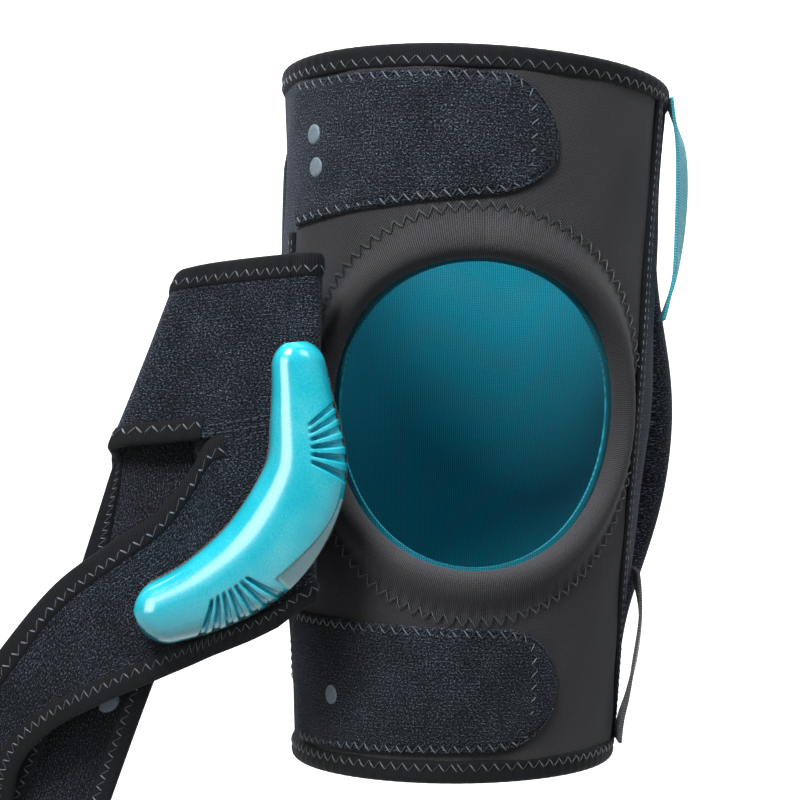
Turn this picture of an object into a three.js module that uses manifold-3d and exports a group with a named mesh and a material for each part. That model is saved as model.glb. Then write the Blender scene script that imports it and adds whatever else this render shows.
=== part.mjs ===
// A wrap-around knee support with an open patella, shown with its strap wing peeled open.
// Millimetres, +Z up the leg, -Y the front of the knee, +X the viewer's right.
// The origin is on the axis of the leg, level with the middle of the patella.
import * as THREE from "three";
import { mergeVertices } from "three/addons/utils/BufferGeometryUtils.js";
import Module from "manifold-3d";

const wasm = await Module();
wasm.setup();
const { lerp, clamp, smoothstep, degToRad } = THREE.MathUtils;

// Driving dimensions.
const TOP_Z = 123; // upper edge, on the thigh
const BOTTOM_Z = -127; // lower edge, on the calf
const TOP_RADIUS = 71;
const BOTTOM_RADIUS = 58.5;
const KNEE_BULGE = 4; // the leg is this much stouter at the knee than a plain taper
const KNEE_REACH = 60;
const CLOTH = 4; // neoprene faced with jersey
const LINING = 0.8;
const GAP = 0.3; // between pieces that touch
const BINDING_HEIGHT = 8.5;
const STRAP_CLOTH = 3;
const STRAP_BINDING = 8;
const BINDING_EXTRA = 0.8; // a strap's binding is this much thicker than its cloth
const ARC_RADIUS = 69; // flat patterns are rolled round the leg at this radius
const HOLE_ACROSS = 2.7; // patella hole's centre, from the middle of the front pattern
const HOLE_RADIUS = 53.3; // half its height
const HOLE_STRETCH = 1.08; // its width over its height
const RING_WIDTH = 14;
const TOP_RISE = 2.2; // the upper edge stands this much higher at the front
const TOP_SLOPE = 1.2; // and this much lower on the right
const BOTTOM_SLOPE = 2.2; // the lower edge stands this much higher on the right
const WING_Y = -76; // middle of the open wing's cloth
const FOLD_X = -51; // where the wing folds back from the leg
const FOLD_Y = -74;
const HINGE_GAP = 3; // cloth left out on each side of a fold

// Leg form ------------------------------------------------------------------------------------

function legRadius(z) {
  const taper = (z - BOTTOM_Z) / (TOP_Z - BOTTOM_Z);
  const knee = KNEE_BULGE * Math.exp(-((z / KNEE_REACH) ** 2));
  return lerp(BOTTOM_RADIUS, TOP_RADIUS, taper) + knee;
}

// Both ends of the shell are cut a little askew.
function lean(p) {
  const top = smoothstep(p.z, 60, TOP_Z);
  const bottom = smoothstep(-p.z, 60, -BOTTOM_Z);
  const rise = (TOP_RISE * -p.y - TOP_SLOPE * p.x) / TOP_RADIUS;
  const slope = (BOTTOM_SLOPE * p.x) / BOTTOM_RADIUS;
  p.z += rise * top + slope * bottom;
}

// Angles are in degrees round the leg, from the front towards +X.
function onLeg(angle, z, offset, target = new THREE.Vector3()) {
  const turn = degToRad(angle);
  const radius = legRadius(z) + offset;
  target.set(radius * Math.sin(turn), -radius * Math.cos(turn), z);
  lean(target);
  return target;
}

function angleOf(across) {
  return THREE.MathUtils.radToDeg(across / ARC_RADIUS);
}

// Seams of the shell, as angles that change with height.
function rightSeam(z) {
  const knee = 60.9;
  return z > -5 ? knee + 6 * smoothstep(z, -5, 110) : knee + 20 * (-(z + 5) / 115) ** 1.6;
}
const leftSeam = (z) => -68 - 6 * smoothstep(-z, 20, 110);
const rightRearSeam = () => 128;
const leftRearSeam = () => -128;

// Geometry helpers ----------------------------------------------------------------------------

// Merges a geometry to bare positions, then moves each vertex.
function reshape(geometry, place) {
  geometry.deleteAttribute("normal");
  geometry.deleteAttribute("uv");
  const merged = mergeVertices(geometry, 1e-4);
  const position = merged.getAttribute("position");
  const point = new THREE.Vector3();
  for (let i = 0; i < position.count; i++) {
    point.fromBufferAttribute(position, i);
    place(point);
    position.setXYZ(i, point.x, point.y, point.z);
  }
  merged.computeVertexNormals();
  return merged;
}

// A slab of cells whose corners are placed by surface(u, v, w), each from 0 to 1.
function slab(across, along, surface) {
  return reshape(new THREE.BoxGeometry(1, 1, 1, across, along, 1), (p) => {
    surface(p.x + 0.5, p.y + 0.5, p.z + 0.5, p);
  });
}

// Cloth on the leg between two seams.
function panel({ from, to, bottom, top, inner, outer, across, along, inset = GAP / 2 }) {
  return slab(across, along, (u, v, w, p) => {
    const z = lerp(bottom, top, v);
    const edge = THREE.MathUtils.radToDeg(inset / legRadius(z));
    onLeg(lerp(from(z) + edge, to(z) - edge, u), z, lerp(inner, outer, w), p);
  });
}

// Rolls a flat pattern, x across, y up and z outwards, round the leg.
function roll(geometry) {
  return reshape(geometry, (p) => onLeg(angleOf(p.x), p.y, p.z, p));
}

// A disc of the flat pattern, rolled round the leg. A wide one needs a few rings to follow it.
function rolledDisc(radius, across, z, inner, outer, { sides, rings = 1, stretch = 1 }) {
  const profile = [];
  for (let i = 0; i <= rings; i++) profile.push([(radius * i) / rings, inner]);
  for (let i = rings; i >= 0; i--) profile.push([(radius * i) / rings, outer]);
  const disc = turned(profile, sides);
  disc.scale(stretch, 1, 1);
  disc.translate(across, z, 0);
  return roll(disc);
}

// A body of revolution about Z, from [radius, height] points of a closed profile.
function turned(profile, sides) {
  const points = profile.map(([radius, height]) => new THREE.Vector2(radius, height));
  if (profile[0][0] > 0) points.push(points[0]);
  const lathe = new THREE.LatheGeometry(points, sides);
  lathe.rotateX(Math.PI / 2);
  return lathe;
}

function curve(points) {
  return new THREE.CatmullRomCurve3(points.map((point) => new THREE.Vector3(...point)));
}

// Cloth ruled between two edge curves. from and to are fractions of the way across it.
function strip(edges, { from = 0, to = 1, thickness = STRAP_CLOTH, steps = 12, rows = 2 }) {
  const at = (t, s) => edges[0].getPoint(t).lerp(edges[1].getPoint(t), s);
  return slab(steps, rows, (u, v, w, p) => {
    const s = lerp(from, to, v);
    const along = at(Math.min(u + 0.01, 1), s).sub(at(Math.max(u - 0.01, 0), s));
    const across = edges[1].getPoint(u).sub(edges[0].getPoint(u));
    const normal = along.cross(across).normalize();
    p.copy(at(u, s)).addScaledVector(normal, (w - 0.5) * thickness);
  });
}

function solid(geometry) {
  const vertProperties = new Float32Array(geometry.getAttribute("position").array);
  const triVerts = new Uint32Array(geometry.index.array);
  return new wasm.Manifold(new wasm.Mesh({ numProp: 3, vertProperties, triVerts }));
}

function cut(geometry, tool) {
  const mesh = solid(geometry).subtract(solid(tool)).getMesh();
  const result = new THREE.BufferGeometry();
  result.setAttribute("position", new THREE.BufferAttribute(mesh.vertProperties, 3));
  result.setIndex(new THREE.BufferAttribute(mesh.triVerts, 1));
  result.computeVertexNormals();
  return result;
}

// Materials and nodes -------------------------------------------------------------------------

const group = new THREE.Group();
const colours = {
  jersey: [0x3c3c3f, 0.9],
  plush: [0x1b1c22, 1],
  tape: [0x17181c, 0.8],
  lining: [0x1f9fb4, 0.85],
  teal_webbing: [0x46d7e6, 0.6],
  grey_webbing: [0x3a3d42, 0.7],
  teal_gel: [0x35c4d6, 0.25],
  dot: [0x7d8c96, 0.6],
  hook: [0x5a534e, 0.9],
};

function add(name, geometry, look) {
  const [color, roughness] = colours[look];
  const material = new THREE.MeshStandardMaterial({ color, roughness, metalness: 0 });
  const mesh = new THREE.Mesh(geometry, material);
  mesh.name = name;
  group.add(mesh);
}

function addSteel(name, geometry) {
  const material = new THREE.MeshStandardMaterial({ color: 0xb9bcc0, roughness: 0.35, metalness: 1 });
  const mesh = new THREE.Mesh(geometry, material);
  mesh.name = name;
  group.add(mesh);
}

// Shell ---------------------------------------------------------------------------------------

const CLOTH_TOP = TOP_Z - BINDING_HEIGHT - GAP;
const CLOTH_BOTTOM = BOTTOM_Z + BINDING_HEIGHT + GAP;
const LINING_OUTER = -CLOTH - 0.7;
const PUNCH = { sides: 40, rings: 6 }; // facets of the tool that cuts the patella hole

function addShellPanels() {
  const cloth = { bottom: CLOTH_BOTTOM, top: CLOTH_TOP, inner: -CLOTH, outer: 0, along: 12 };
  const front = panel({ ...cloth, from: leftSeam, to: rightSeam, across: 14, along: 14 });
  const window = HOLE_RADIUS + RING_WIDTH + GAP;
  add("front_panel", cut(front, rolledDisc(window, HOLE_ACROSS, 0, -6, 2, PUNCH)), "jersey");
  add("right_side_panel", panel({ ...cloth, from: rightSeam, to: rightRearSeam, across: 6 }), "plush");
  add("left_side_panel", panel({ ...cloth, from: leftRearSeam, to: leftSeam, across: 6 }), "plush");
  const rear = { ...cloth, inner: 0.8 - CLOTH, outer: -0.8, from: rightRearSeam };
  add("popliteal_knit_panel", panel({ ...rear, to: () => 360 + leftRearSeam(), across: 9 }), "jersey");
}

function addLining() {
  const outer = LINING_OUTER;
  const rows = 8;
  const profile = [];
  for (let i = 0; i <= rows; i++) {
    const z = lerp(CLOTH_BOTTOM, CLOTH_TOP, i / rows);
    profile.push([legRadius(z) + outer, z]);
  }
  for (let i = rows; i >= 0; i--) {
    const z = lerp(CLOTH_BOTTOM, CLOTH_TOP, i / rows);
    profile.push([legRadius(z) + outer - LINING, z]);
  }
  const tube = reshape(turned(profile, 36), lean);
  const hole = rolledDisc(HOLE_RADIUS - 1.3, HOLE_ACROSS, 0, -7, -2, { ...PUNCH, stretch: HOLE_STRETCH });
  add("inner_lining", cut(tube, hole), "lining");
}

function addBindings() {
  const inner = LINING_OUTER - LINING - GAP;
  const outer = 1.2;
  const ring = (low, high) => {
    const bevel = 1.5;
    return turned(
      [
        [legRadius(low) + inner, low],
        [legRadius(low) + outer - bevel, low],
        [legRadius(low) + outer, low + bevel],
        [legRadius(high) + outer, high - bevel],
        [legRadius(high) + outer - bevel, high],
        [legRadius(high) + inner, high],
      ],
      48,
    );
  };
  add("top_binding", reshape(ring(TOP_Z - BINDING_HEIGHT, TOP_Z), lean), "tape");
  add("bottom_binding", reshape(ring(BOTTOM_Z, BOTTOM_Z + BINDING_HEIGHT), lean), "tape");
}

function addPatellaRing() {
  const inner = HOLE_RADIUS;
  const outer = HOLE_RADIUS + RING_WIDTH;
  const profile = [
    [inner + 1.5, -CLOTH],
    [outer, -CLOTH],
    [outer, 0.5],
    [lerp(inner, outer, 0.55), 3],
    [inner + 2.5, 3],
    [inner, 0.5],
    [inner, -CLOTH + 1.5],
  ];
  // The hole is wider than it is tall, and the outer seam is round.
  const ring = reshape(turned(profile, 40), (p) => {
    const width = (Math.hypot(p.x, p.y) - inner) / RING_WIDTH;
    p.x = HOLE_ACROSS + p.x * lerp(HOLE_STRETCH, 1, width);
  });
  add("patella_ring", roll(ring), "jersey");
}

// Loop patches that the hook tabs fasten to.
function addPatch(name, { from, to, low, high, round, lean }) {
  const middle = (low + high) / 2;
  const surface = (u, v, w, p) => {
    const across = lerp(from, to, u);
    const into = clamp((across - (to - round)) / round, 0, 0.97);
    const full = Math.sqrt(1 - into * into);
    const edge = low + lean * (across - from);
    const z = lerp(lerp(middle, edge, full), lerp(middle, high, full), v);
    onLeg(angleOf(across), z, lerp(GAP, 1.8, w), p);
  };
  add(name, slab(16, 4, surface), "plush");
}

function addPatches() {
  const edge = 0.6;
  addPatch("upper_loop_patch", { from: -77, to: 27, low: 65, high: CLOTH_TOP - edge, round: 22, lean: 0.11 });
  addPatch("lower_loop_patch", { from: -82, to: 40, low: CLOTH_BOTTOM + edge, high: -73, round: 24, lean: 0.02 });
  const dots = { upper_patch_dot_high: [-64, 95], upper_patch_dot_low: [-62.5, 84], lower_patch_dot: [-55, -99] };
  for (const [name, [across, z]] of Object.entries(dots)) {
    add(name, rolledDisc(3.4, across, z, 1.8 + GAP, 2.7, { sides: 16 }), "dot");
  }
}

// Narrow strips over the seams.
function addSeam(name, angle, low, high) {
  const half = 2.6;
  const piping = { bottom: low, top: high, inner: GAP, outer: 1.5, across: 1, along: 12, inset: 0 };
  const lean = (z) => THREE.MathUtils.radToDeg(half / legRadius(z));
  add(name, panel({ ...piping, from: (z) => angle(z) - lean(z), to: (z) => angle(z) + lean(z) }), "tape");
}

function addSeams() {
  addSeam("front_right_seam_piping", rightSeam, CLOTH_BOTTOM, CLOTH_TOP);
  // The front left piping runs between the two loop patches.
  addSeam("front_left_seam_piping", leftSeam, -71, 62);
}

// Side stays: a flat spring in a pocket that stands out most at the knee.
const STAY_HALF_ANGLE = 9;

function addStay(side, angle, rise) {
  const low = -105;
  const high = 95;
  const channel = 1.2;
  const height = (z) => 2.4 + rise * Math.exp(-(((z + 12) / 52) ** 2));
  const pocket = slab(4, 14, (u, v, w, p) => {
    const z = lerp(low, high, v);
    const crown = 1 - 0.55 * (2 * u - 1) ** 2;
    const outer = GAP + height(z) * crown;
    onLeg(angle + STAY_HALF_ANGLE * (2 * u - 1), z, lerp(GAP, outer, w), p);
  });
  const bore = slab(2, 12, (u, v, w, p) => {
    const z = lerp(low + 5, high - 5, v);
    onLeg(angle + 0.62 * STAY_HALF_ANGLE * (2 * u - 1), z, lerp(-1, GAP + channel, w), p);
  });
  add(`${side}_stay_pocket`, cut(pocket, bore), "plush");
  const stay = slab(1, 12, (u, v, w, p) => {
    const z = lerp(low + 8, high - 8, v);
    onLeg(angle + 0.45 * STAY_HALF_ANGLE * (2 * u - 1), z, lerp(GAP, channel - 0.1, w), p);
  });
  addSteel(`${side}_spring_stay`, stay);
}

// Pull loops on the right: an arch of webbing, sewn down at each end by a tab.
const LOOP_Y = -10;

function addPullLoop(level, look, arch, tabs) {
  const half = 9;
  const edge = (side) => curve(arch.map(([x, z]) => [x, LOOP_Y + side * half, z]));
  add(`${level}_pull_loop`, strip([edge(-1), edge(1)], { thickness: 1.5, steps: 14, rows: 1 }), look);
  for (const [end, z, height] of tabs) {
    const reach = 8.2; // degrees
    const tab = slab(3, 1, (u, v, w, p) => {
      onLeg(81.5 + reach * (2 * u - 1), z + height * (v - 0.5), lerp(1.8, 3, w), p);
    });
    add(`${level}_pull_loop_${end}_tab`, tab, look);
  }
}

function addPullLoops() {
  // Each arch stops short of its tabs, so that it can swing.
  const upper = [[73.8, 99.8], [78, 94], [80.2, 84], [79.4, 70], [77, 54], [74.6, 46.2]];
  addPullLoop("upper", "teal_webbing", upper, [["top", 107.6, 12], ["bottom", 40, 10]]);
  const lower = [[67.8, -66.2], [70.4, -75], [69.6, -88], [67.4, -98], [64.8, -105.8]];
  addPullLoop("lower", "grey_webbing", lower, [["top", -60, 10], ["bottom", -114.5, 10]]);
}

// Wing ----------------------------------------------------------------------------------------

const WING_TOP = 52;
const WING_LOW = -63;

// The wing's root is sewn at the left rear, passes over the stay pocket and leaves the leg.
function addWingRoot() {
  const sewn = leftRearSeam() + 3;
  const leaves = -62;
  const end = new THREE.Vector2(FOLD_X - 1, FOLD_Y + HINGE_GAP + 2);
  const surface = (u, v, w, p) => {
    const z = lerp(WING_LOW, WING_TOP, v);
    const onRoll = Math.min(u / 0.72, 1);
    const lift = 0.6 + 6.4 * smoothstep(onRoll, 0, 0.22);
    onLeg(lerp(sewn, leaves, onRoll), z, lift + w * 2.5, p);
    if (u > 0.72) {
      const away = (u - 0.72) / 0.28;
      p.x = lerp(p.x, end.x + w * -2.5, away);
      p.y = lerp(p.y, end.y, away);
    }
  };
  add("wing_root_panel", slab(18, 4, surface), "plush");
}

function flatCurve(points, y = WING_Y) {
  return curve(points.map(([x, z]) => [x, y, z]));
}

// Core and two edge bindings that share one ruled surface.
function addStrap(name, edges, { first, second, width, steps = 8 }) {
  const tape = STRAP_BINDING / width;
  const gap = GAP / width;
  const low = first ? tape + gap : 0;
  const high = second ? 1 - tape - gap : 1;
  add(name, strip(edges, { from: low, to: high, steps, rows: 2 }), "plush");
  const binding = { thickness: STRAP_CLOTH + BINDING_EXTRA, steps, rows: 1 };
  if (first) add(first, strip(edges, { ...binding, from: 0, to: tape }), "tape");
  if (second) add(second, strip(edges, { ...binding, from: 1 - tape, to: 1 }), "tape");
}

function addWing() {
  const start = FOLD_X - HINGE_GAP;
  const upper = [
    flatCurve([[start, WING_TOP], [-74, 49.5], [-94, 46]]),
    flatCurve([[start, -4.2], [-82, -9.2], [-114.5, -13.4]]),
  ];
  addStrap("wing_upper_panel", upper, { first: "wing_top_binding", width: 59 });
  const lower = [
    flatCurve([[start, -5.8], [-70, -8.6], [-86, -13.5], [-93, -26], [-115.5, -44.5]]),
    flatCurve([[start, -66], [-63, -73], [-75, -79], [-87.5, -84.6], [-97.5, -89.3]]),
  ];
  addStrap("wing_lower_panel", lower, { second: "wing_bottom_binding", width: 60 });
}

// Lower strap: the free length of the wing's lower arm, which droops and twists.
function addLowerStrap() {
  const edges = [
    curve([[-120, WING_Y, -48], [-137, WING_Y, -62], [-154, -77, -84], [-168, -74, -106], [-178, -70, -130]]),
    curve([[-102, WING_Y, -91.5], [-120, WING_Y, -100], [-137, -75, -110], [-148, -70, -123], [-151, -65, -138]]),
  ];
  const bindings = { first: "lower_strap_top_binding", second: "lower_strap_bottom_binding" };
  addStrap("lower_strap", edges, { ...bindings, width: 40, steps: 10 });
  const tab = [
    curve([[-178.6, -69.8, -131], [-180.5, -68, -146], [-176, -66, -160]]),
    curve([[-151.4, -64.8, -139], [-153.5, -63.5, -151], [-160, -64, -161]]),
  ];
  add("lower_hook_tab", strip(tab, { thickness: 2, steps: 5, rows: 1 }), "hook");
}

// Upper strap: folded over behind the wing, it hangs down past the lower arm.
function addUpperStrap() {
  const edges = [
    curve([[-97, -69.5, 36], [-91, -69, 9], [-86, -68, -18], [-89, -66.6, -50], [-105, -64, -95],
      [-119, -59, -137], [-131, -56, -176]]),
    curve([[-119.5, -69.5, -17], [-123, -69, -33], [-130, -67, -58], [-141, -64, -97], [-155.5, -59, -137],
      [-168.5, -56, -176]]),
  ];
  const bindings = { first: "upper_strap_right_binding", second: "upper_strap_left_binding" };
  addStrap("upper_strap", edges, { ...bindings, width: 40, steps: 12 });
  const tab = [
    curve([[-131.6, -55.8, -177.2], [-136, -54.5, -192], [-144, -54, -204]]),
    curve([[-168.9, -55.8, -177.2], [-171, -54.5, -192], [-165, -54, -205]]),
  ];
  add("upper_hook_tab", strip(tab, { thickness: 2, steps: 5, rows: 1 }), "hook");
  const dot = new THREE.CylinderGeometry(3.4, 3.4, 0.8, 16);
  dot.translate(-124, -65.8, -107);
  add("upper_strap_dot", reshape(dot, () => {}), "dot");
}

// Crescent buttress ---------------------------------------------------------------------------

const BUTTRESS_BASE = WING_Y - (STRAP_CLOTH + BINDING_EXTRA) / 2 - GAP;
const HOOK_PAD = 1.5;
const BUTTRESS_DEPTH = 13;

function crescent(grow, back, depth, dome, steps) {
  const spine = flatCurve([[-58.9, 20.8], [-56, 0], [-54.6, -22.5], [-66, -46], [-84.5, -61.4], [-108, -72]], 0);
  return slab(steps, 8, (u, v, w, p) => {
    // Steps are closer together at the rounded ends.
    const t = lerp(0.012, 0.988, lerp(u, (1 - Math.cos(Math.PI * u)) / 2, 0.7));
    const here = spine.getPoint(t);
    const along = spine.getTangent(t);
    const across = new THREE.Vector3(-along.z, 0, along.x);
    const end = Math.min(1, t / 0.07, (1 - t) / 0.07);
    const round = Math.sqrt(1 - (1 - end) ** 2);
    const belly = Math.sin(Math.PI * t ** 1.15) ** 1.5; // widest past the middle
    const half = (lerp(8.4, 10.2, t) + 5.6 * belly) * round + grow;
    const side = 2 * v - 1;
    const height = dome ? lerp(0.35, 1, Math.sqrt(1 - (0.94 * side) ** 2)) * lerp(0.6, 1, round) : 1;
    p.copy(here).addScaledVector(across, side * half);
    p.y = back - w * depth * height;
  });
}

function addButtress() {
  add("buttress_hook_pad", crescent(0.4, BUTTRESS_BASE, HOOK_PAD, false, 20), "hook");
  const back = BUTTRESS_BASE - HOOK_PAD - GAP;
  add("crescent_buttress", crescent(0, back, BUTTRESS_DEPTH, true, 20), "teal_gel");
}

addShellPanels();
addLining();
addBindings();
addPatellaRing();
addPatches();
addSeams();
addStay("right", 104, 12);
addStay("left", -104, 3);
addPullLoops();
addWingRoot();
addWing();
addLowerStrap();
addUpperStrap();
addButtress();

export default group;
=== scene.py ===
"""A knee support with an open patella, its strap wing peeled open.

Lengths are millimetres until a mesh is made.
"""

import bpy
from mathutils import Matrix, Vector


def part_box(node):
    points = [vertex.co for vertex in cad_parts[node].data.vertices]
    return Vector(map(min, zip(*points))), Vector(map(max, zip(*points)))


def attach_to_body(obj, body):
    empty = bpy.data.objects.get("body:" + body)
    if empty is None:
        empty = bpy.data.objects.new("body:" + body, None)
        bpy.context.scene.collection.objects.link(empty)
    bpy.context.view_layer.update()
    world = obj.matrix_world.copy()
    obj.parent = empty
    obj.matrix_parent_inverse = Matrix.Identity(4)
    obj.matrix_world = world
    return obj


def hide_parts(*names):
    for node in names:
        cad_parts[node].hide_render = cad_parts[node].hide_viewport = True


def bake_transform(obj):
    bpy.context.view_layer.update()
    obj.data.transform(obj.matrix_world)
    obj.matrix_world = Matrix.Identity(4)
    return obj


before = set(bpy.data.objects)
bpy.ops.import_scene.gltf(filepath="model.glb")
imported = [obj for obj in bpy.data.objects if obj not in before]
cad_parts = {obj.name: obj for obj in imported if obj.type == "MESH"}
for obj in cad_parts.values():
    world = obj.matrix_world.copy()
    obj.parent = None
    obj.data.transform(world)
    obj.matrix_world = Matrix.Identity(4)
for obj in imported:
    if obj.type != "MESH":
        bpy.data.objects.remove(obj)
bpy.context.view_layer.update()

import math

import bmesh
import bpy
import numpy as np
from mathutils import Matrix, Vector

MM = 0.001


# Camera ----

CAMERA_AT = (-24.0, -700.0, 4.2)
CAMERA_ROLL = math.radians(2.0)
LENS = 84.14


def add_camera():
    camera = bpy.data.objects.new("camera", bpy.data.cameras.new("camera"))
    camera.data.lens = LENS
    camera.data.clip_start = 0.01
    right = (math.cos(CAMERA_ROLL), 0.0, math.sin(CAMERA_ROLL))
    up = (-math.sin(CAMERA_ROLL), 0.0, math.cos(CAMERA_ROLL))
    turn = Matrix((right, up, (0.0, -1.0, 0.0))).transposed().to_4x4()
    camera.matrix_world = Matrix.Translation([MM * c for c in CAMERA_AT]) @ turn
    bpy.context.scene.collection.objects.link(camera)
    bpy.context.scene.camera = camera


add_camera()


# Sizes ----

def box_mm(node):
    low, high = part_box(node)
    return np.array(low) / MM, np.array(high) / MM


TOP_Z = 123.0
BOTTOM_Z = -127.0
BINDING_HEIGHT = 8.5
TOP_RADIUS = 71.0
BOTTOM_RADIUS = 58.5
KNEE_BULGE = 4.0
KNEE_REACH = 60.0
CLOTH = 4.0
ARC_RADIUS = 69.0
HOLE_ACROSS = 2.7
HOLE_RADIUS = 53.3  # half its height
HOLE_STRETCH = 1.08
SEAM_RADIUS = 70.2  # the patella ring's outer seam
TOP_RISE = 2.2
TOP_SLOPE = 1.2
BOTTOM_SLOPE = 2.2
CLOTH_TOP = TOP_Z - BINDING_HEIGHT + 2
CLOTH_BOTTOM = BOTTOM_Z + BINDING_HEIGHT - 2
STRAP_CLOTH = 3.0
STRAP_TAPE = 8.0
WING_Y = (box_mm("wing_upper_panel")[0][1] + box_mm("wing_upper_panel")[1][1]) / 2


def leg_radius(z):
    taper = (z - BOTTOM_Z) / (TOP_Z - BOTTOM_Z)
    bulge = KNEE_BULGE * np.exp(-((z / KNEE_REACH) ** 2))
    return BOTTOM_RADIUS + (TOP_RADIUS - BOTTOM_RADIUS) * taper + bulge


def smoothstep(x, low, high):
    t = np.clip((x - low) / (high - low), 0, 1)
    return t * t * (3 - 2 * t)


def leg(across, up, offset=0.0):
    """The shell's flat pattern: across is the distance round the leg from the front, and up is z."""
    angle = across / ARC_RADIUS
    radius = leg_radius(up) + offset
    x, y = radius * np.sin(angle), -radius * np.cos(angle)
    rise = (TOP_RISE * -y - TOP_SLOPE * x) / TOP_RADIUS * smoothstep(up, 60, TOP_Z)
    slope = BOTTOM_SLOPE * x / BOTTOM_RADIUS * smoothstep(-up, 60, -BOTTOM_Z)
    return np.stack([x, y, up + rise + slope], -1)


def arc(degrees):
    return np.radians(degrees) * ARC_RADIUS


def right_seam(z):
    knee = 60.9
    low = knee + 20 * (np.clip(-(z + 5) / 115, 0, None)) ** 1.6
    return arc(np.where(z > -5, knee + 6 * smoothstep(z, -5, 110), low))


def left_seam(z):
    return arc(-68 - 6 * smoothstep(-z, 20, 110))


REAR_SEAM = arc(128)
FULL_TURN = arc(360)


# Curves and ribbons ----

def unit(vectors):
    return vectors / np.linalg.norm(vectors, axis=-1, keepdims=True)


def distances(path):
    """How far each point of a path is from its start."""
    return np.concatenate([[0], np.cumsum(np.linalg.norm(np.diff(path, axis=0), axis=1))])


def rounded(turn, power):
    """A cross-section between an ellipse, with a power of 2, and a box."""
    square = lambda wave: np.abs(wave) ** (2 / power) * np.sign(wave)
    return square(np.cos(turn)), square(np.sin(turn))


def smooth_curve(points, count):
    """count points on a Catmull-Rom curve through the given ones."""
    points = np.array(points, float)
    padded = np.vstack([2 * points[0] - points[1], points, 2 * points[-1] - points[-2]])
    t = np.linspace(0, len(points) - 1, count)
    i = np.minimum(t.astype(int), len(points) - 2)
    f = (t - i)[:, None]
    a, b, c, d = (padded[i + k] for k in range(4))
    return 0.5 * (2 * b + (c - a) * f + (2 * a - 5 * b + 4 * c - d) * f**2 + (3 * b - a - 3 * c + d) * f**3)


class Ribbon:
    """Cloth ruled between two edges. along is measured down the middle from its start, and across from the
    first edge; offset stands out of the face on the left of (along, across)."""

    POINTS = 500
    TANGENT_STEP = 0.8

    def __init__(self, first, second, relief=None):
        self.first = smooth_curve(first, self.POINTS)
        self.second = smooth_curve(second, self.POINTS)
        self.reach = distances((self.first + self.second) / 2)
        self.length = self.reach[-1]
        self.relief = relief

    def edges(self, along):
        along = np.clip(along, 0, self.length)
        pick = lambda edge: np.stack([np.interp(along, self.reach, edge[:, k]) for k in range(3)], -1)
        return pick(self.first), pick(self.second)

    def width(self, along):
        first, second = self.edges(along)
        return np.linalg.norm(second - first, axis=-1)

    def point(self, along, share):
        first, second = self.edges(along)
        return first + (second - first) * share[..., None]

    def __call__(self, along, across, offset=0.0):
        along = np.clip(np.asarray(along, float), 0, self.length)
        along, across = np.broadcast_arrays(along, np.asarray(across, float))
        width = self.width(along)
        share = across / width
        tangent = self.point(along + self.TANGENT_STEP, share) - self.point(along - self.TANGENT_STEP, share)
        first, second = self.edges(along)
        normal = unit(np.cross(tangent, second - first))
        lift = offset + (self.relief(along, share) if self.relief else 0)
        return self.point(along, share) + normal * np.asarray(lift)[..., None]


# Meshes ----

def make_piece(name, points, faces, looks, flat=None, face_looks=None, sharp=math.radians(50)):
    """A mesh object from points in millimetres. flat holds a place on the flat cloth for each face corner."""
    mesh = bpy.data.meshes.new(name)
    mesh.from_pydata((np.asarray(points) * MM).tolist(), [], faces)
    if flat is not None:
        layer = mesh.uv_layers.new(name="cloth")
        layer.data.foreach_set("uv", (np.asarray(flat) * MM).ravel())
    for look in looks:
        mesh.materials.append(look)
    if face_looks is not None:
        mesh.polygons.foreach_set("material_index", face_looks)
    shape = bmesh.new()
    shape.from_mesh(mesh)
    for face in shape.faces:
        face.smooth = True
    for edge in shape.edges:
        edge.smooth = edge.calc_face_angle(0) < sharp
    shape.to_mesh(mesh)
    shape.free()
    piece = bpy.data.objects.new(name, mesh)
    bpy.context.scene.collection.objects.link(piece)
    return piece


def grid_faces(columns, rows, start, flip, wrap=False):
    """Quads of a grid of (columns + 1) by (rows + 1) points, and the grid places of their corners."""
    u, v = np.meshgrid(np.arange(columns), np.arange(rows), indexing="ij")
    u, v = u.ravel(), v.ravel()
    corners = [(u, v), (u + 1, v), (u + 1, v + 1), (u, v + 1)]
    if flip:
        corners.reverse()
    places = np.stack([np.stack(c, -1) for c in corners], 1)
    wrapped = places[..., 0] % columns if wrap else places[..., 0]
    return start + wrapped * (rows + 1) + places[..., 1], places


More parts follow.
